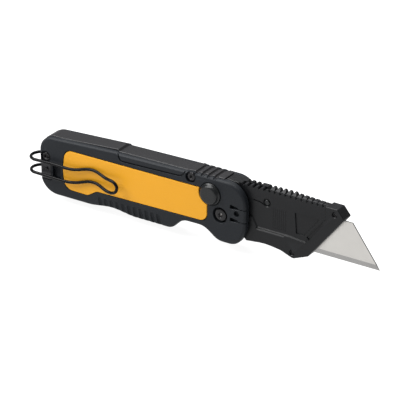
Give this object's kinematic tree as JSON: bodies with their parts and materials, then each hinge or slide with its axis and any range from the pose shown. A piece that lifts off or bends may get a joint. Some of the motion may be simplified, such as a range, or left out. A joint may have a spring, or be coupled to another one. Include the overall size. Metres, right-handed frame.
{
  "type": "folding utility knife",
  "caption": "Folding utility knife: a carrier with a trapezoid blade turns out of a slotted handle, with a button lock and a wire belt clip.",
  "frame": {"origin": "centre of the bounding box's base, with the open knife standing on its belly", "axes": "+X to the blade's tip, +Z to the spine, -Y out of the side with the button and the belt clip"},
  "size_m": [0.1792, 0.0171, 0.0305],
  "materials": {
    "handle_plastic": "fine texture, charcoal black",
    "panel_yellow": "satin golden yellow",
    "spine_metal": "satin dark grey",
    "black_screw": "black oxide",
    "washer_brass": "turned",
    "spring_steel": "plain",
    "carrier_black": "semi-gloss black coating",
    "button_black": "satin black",
    "plunger_steel": "turned",
    "blade_steel": "ground, bare",
    "clip_wire": "gloss black"
  },
  "bodies": {
    "handle": {"handle_shell_left": "handle_plastic", "handle_shell_right": "handle_plastic", "side_panel_left": "panel_yellow", "side_panel_right": "panel_yellow", "spine_spacer": "spine_metal", "butt_block": "handle_plastic", "clip_keeper": "spine_metal", "pivot_barrel": "black_screw", "pivot_screw": "black_screw", "pivot_washer_left": "washer_brass", "pivot_washer_right": "washer_brass", "spine_screw": "black_screw", "spine_screw_nut": "black_screw", "butt_screw_left": "black_screw", "butt_screw_right": "black_screw", "lock_spring": "spring_steel"},
    "carrier": {"carrier_half_left": "carrier_black", "carrier_half_right": "carrier_black", "blade_frame": "spring_steel", "front_rivet": "black_screw", "lower_rivet": "black_screw", "blade_retainer": "spring_steel", "release_spring": "spring_steel"},
    "blade": {"blade": "blade_steel"},
    "lock_button": {"lock_button": "button_black", "lock_plunger": "plunger_steel"},
    "release_button": {"release_button": "black_screw"},
    "belt_clip": {"belt_clip": "clip_wire"}
  },
  "joints": [
    {"name": "carrier_fold", "type": "hinge", "parent": "handle", "child": "carrier", "pos_m": [0.01317, 0.0022, 0.0135], "axis": [0, 1, 0], "range_deg": [0, 178]},
    {"name": "blade_slide", "type": "slide", "parent": "carrier", "child": "blade", "axis": [-1, 0, 0], "range_m": [-0.05, 0]},
    {"name": "lock_press", "type": "slide", "parent": "handle", "child": "lock_button", "axis": [0, 1, 0], "range_m": [0, 0.0016], "stiffness_N_per_m": 200, "springref_m": -0.003, "deforming": ["lock_spring"]},
    {"name": "release_press", "type": "slide", "parent": "carrier", "child": "release_button", "axis": [0, 1, 0], "range_m": [0, 0.0006], "stiffness_N_per_m": 20, "springref_m": -0.003, "deforming": ["release_spring"]},
    {"name": "clip_flex", "type": "hinge", "parent": "handle", "child": "belt_clip", "pos_m": [-0.08282, 0.0031, 0.0135], "axis": [0, 0, -1], "range_deg": [0, 4], "stiffness_Nm_per_rad": 0.05}
  ]
}
